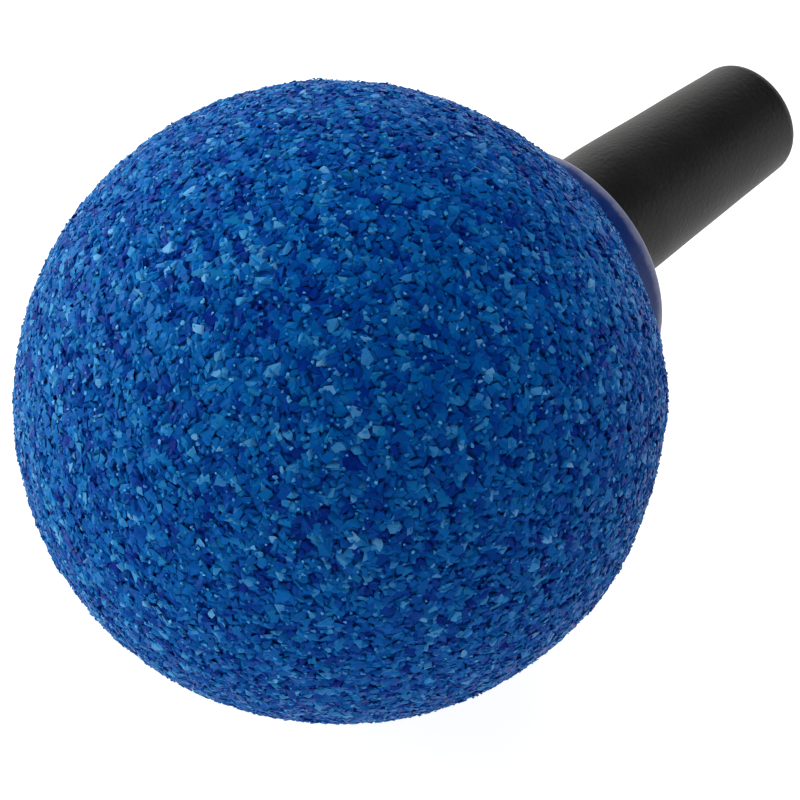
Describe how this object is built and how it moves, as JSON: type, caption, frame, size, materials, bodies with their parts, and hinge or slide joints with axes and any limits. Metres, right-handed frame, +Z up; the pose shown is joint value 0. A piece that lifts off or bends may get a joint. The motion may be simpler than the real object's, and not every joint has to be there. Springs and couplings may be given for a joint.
{
  "type": "air stone",
  "caption": "Ball-shaped air stone: a porous ball of bonded blue grain on a tapered push-on hose nipple, set in a smooth collar, that breaks pumped air into fine bubbles.",
  "frame": {"origin": "on the nipple's axis, in the outer face of the seat collar, where a pushed-on hose stops", "axes": "+X along the nipple, the way the hose leaves, +Z up; the ball's centre is 13.15 mm along -X"},
  "size_m": [0.0389, 0.025, 0.025],
  "materials": {
    "bonded_grain": "matte",
    "collar_resin": "satin",
    "nipple_plastic": "satin",
    "bond_adhesive": "satin"
  },
  "bodies": {
    "root": {"stone_ball": "bonded_grain", "seat_collar": "collar_resin", "hose_nipple": "nipple_plastic", "bond_sleeve": "bond_adhesive"}
  },
  "joints": []
}
